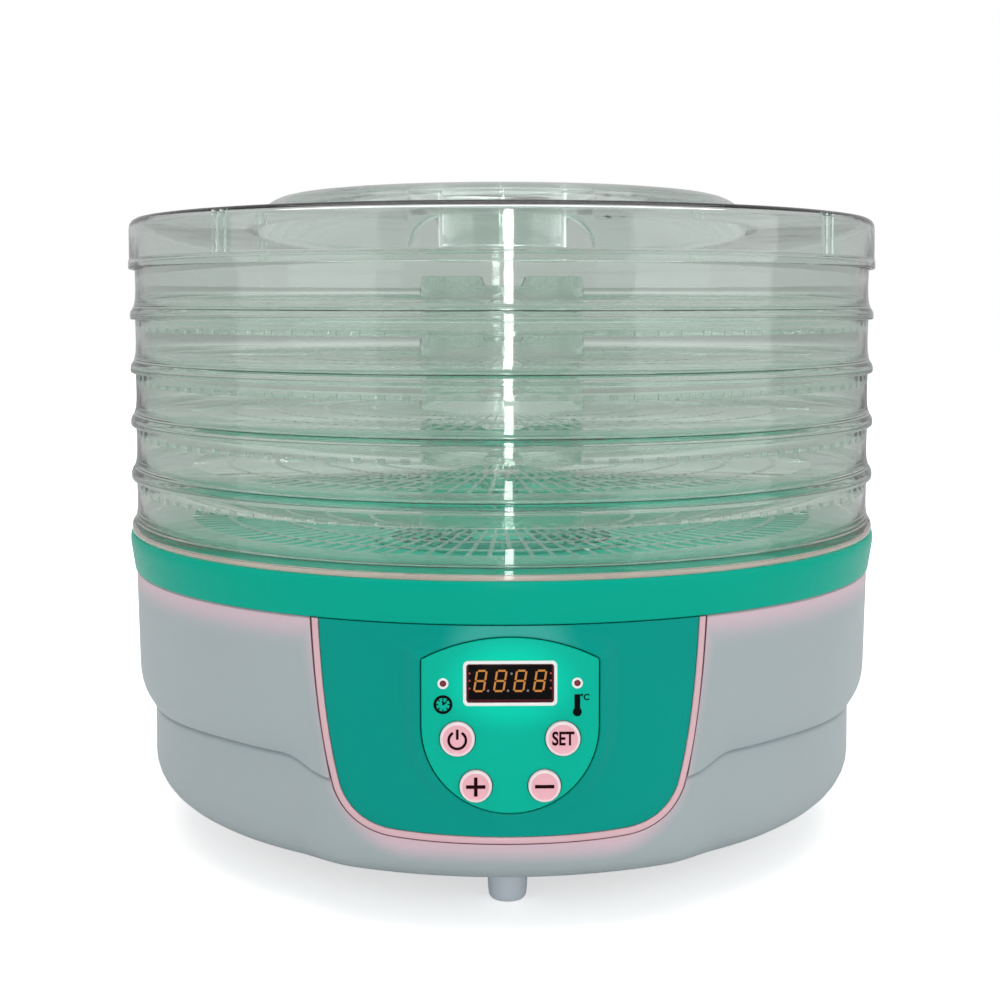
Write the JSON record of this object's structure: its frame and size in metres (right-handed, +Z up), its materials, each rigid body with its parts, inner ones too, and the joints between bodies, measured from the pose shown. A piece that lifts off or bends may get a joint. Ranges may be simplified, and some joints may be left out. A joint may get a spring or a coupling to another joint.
{
  "type": "food dehydrator",
  "caption": "Round countertop food dehydrator: bowl-shaped base with a fan, heater and front control panel, stacking clear trays and a clear lid with a grip.",
  "frame": {"origin": "on the surface the feet stand on, on the axis that the trays, the fan and the base share", "axes": "+Z up along the stack, the control panel faces -Y"},
  "size_m": [0.32, 0.32, 0.266],
  "materials": {
    "shell": "pale grey moulded plastic, satin gloss",
    "green_cover": "emerald green moulded plastic, satin gloss",
    "green_panel": "emerald green moulded plastic, satin gloss",
    "pink_trim": "pale pink moulded plastic",
    "control_plate": "bright green printed overlay",
    "white_bezel": "white moulded plastic",
    "display_window": "dark red filter window, polished",
    "lamp_lens": "dark red lens",
    "button": "pale pink moulded plastic",
    "black_plastic": "black moulded plastic",
    "foot": "pale grey rubber",
    "steel": "bright steel sheet and screws",
    "circuit_board": "green solder resist",
    "relay": "blue relay case",
    "cable": "grey flat cable",
    "mica": "mica sheet",
    "coil": "wound resistance wire",
    "clear_plastic": "clear moulded plastic with a faint green-grey tint"
  },
  "bodies": {
    "base": {"housing_shell": "shell", "upper_cover": "green_cover", "outlet_grille": "green_cover", "front_panel": "green_panel", "panel_trim": "pink_trim", "control_plate": "control_plate", "display_bezel": "white_bezel", "timer_led_bezel": "white_bezel", "heat_led_bezel": "white_bezel", "display_window": "display_window", "timer_led": "lamp_lens", "heat_led": "lamp_lens", "power_switch": "black_plastic", "set_switch": "black_plastic", "plus_switch": "black_plastic", "minus_switch": "black_plastic", "display_module": "black_plastic", "cord_gland": "black_plastic", "filter_capacitor": "black_plastic", "thermal_cutout": "black_plastic", "temperature_sensor": "black_plastic", "foot_front": "foot", "foot_right": "foot", "foot_back": "foot", "foot_left": "foot", "case_screw_1": "steel", "case_screw_2": "steel", "case_screw_3": "steel", "case_screw_4": "steel", "board_screw_1": "steel", "board_screw_2": "steel", "board_screw_3": "steel", "board_screw_4": "steel", "motor_bracket": "steel", "fan_motor": "steel", "fan_duct": "steel", "control_board": "circuit_board", "power_board": "circuit_board", "heater_relay": "relay", "ribbon_cable": "cable", "heater_support": "mica", "heater_coil": "coil"},
    "fan": {"motor_shaft": "steel", "fan_impeller": "black_plastic", "impeller_nut": "steel"},
    "power_key": {"power_button": "button", "power_plunger": "black_plastic"},
    "set_key": {"set_button": "button", "set_plunger": "black_plastic"},
    "plus_key": {"plus_button": "button", "plus_plunger": "black_plastic"},
    "minus_key": {"minus_button": "button", "minus_plunger": "black_plastic"},
    "tray_1_body": {"tray_1": "clear_plastic"},
    "tray_2_body": {"tray_2": "clear_plastic"},
    "tray_3_body": {"tray_3": "clear_plastic"},
    "tray_4_body": {"tray_4": "clear_plastic"},
    "tray_5_body": {"tray_5": "clear_plastic"},
    "lid_body": {"lid": "clear_plastic"}
  },
  "joints": [
    {"name": "power_press", "type": "slide", "parent": "base", "child": "power_key", "axis": [0, 1, 0], "range_m": [0, 0.0005], "stiffness_N_per_m": 800, "springref_m": -0.0005},
    {"name": "set_press", "type": "slide", "parent": "base", "child": "set_key", "axis": [0, 1, 0], "range_m": [0, 0.0005], "stiffness_N_per_m": 800, "springref_m": -0.0005},
    {"name": "plus_press", "type": "slide", "parent": "base", "child": "plus_key", "axis": [0, 1, 0], "range_m": [0, 0.0005], "stiffness_N_per_m": 800, "springref_m": -0.0005},
    {"name": "minus_press", "type": "slide", "parent": "base", "child": "minus_key", "axis": [0, 1, 0], "range_m": [0, 0.0005], "stiffness_N_per_m": 800, "springref_m": -0.0005},
    {"name": "fan_spin", "type": "hinge", "parent": "base", "child": "fan", "pos_m": [0, 0, 0.07], "axis": [0, 0, 1], "continuous": true},
    {"name": "tray_1_lift", "type": "slide", "parent": "base", "child": "tray_1_body", "axis": [0, 0, 1], "range_m": [0, 0.06]},
    {"name": "tray_2_lift", "type": "slide", "parent": "tray_1_body", "child": "tray_2_body", "axis": [0, 0, 1], "range_m": [0, 0.06]},
    {"name": "tray_3_lift", "type": "slide", "parent": "tray_2_body", "child": "tray_3_body", "axis": [0, 0, 1], "range_m": [0, 0.06]},
    {"name": "tray_4_lift", "type": "slide", "parent": "tray_3_body", "child": "tray_4_body", "axis": [0, 0, 1], "range_m": [0, 0.06]},
    {"name": "tray_5_lift", "type": "slide", "parent": "tray_4_body", "child": "tray_5_body", "axis": [0, 0, 1], "range_m": [0, 0.06]},
    {"name": "lid_lift", "type": "slide", "parent": "tray_5_body", "child": "lid_body", "axis": [0, 0, 1], "range_m": [0, 0.08]}
  ]
}
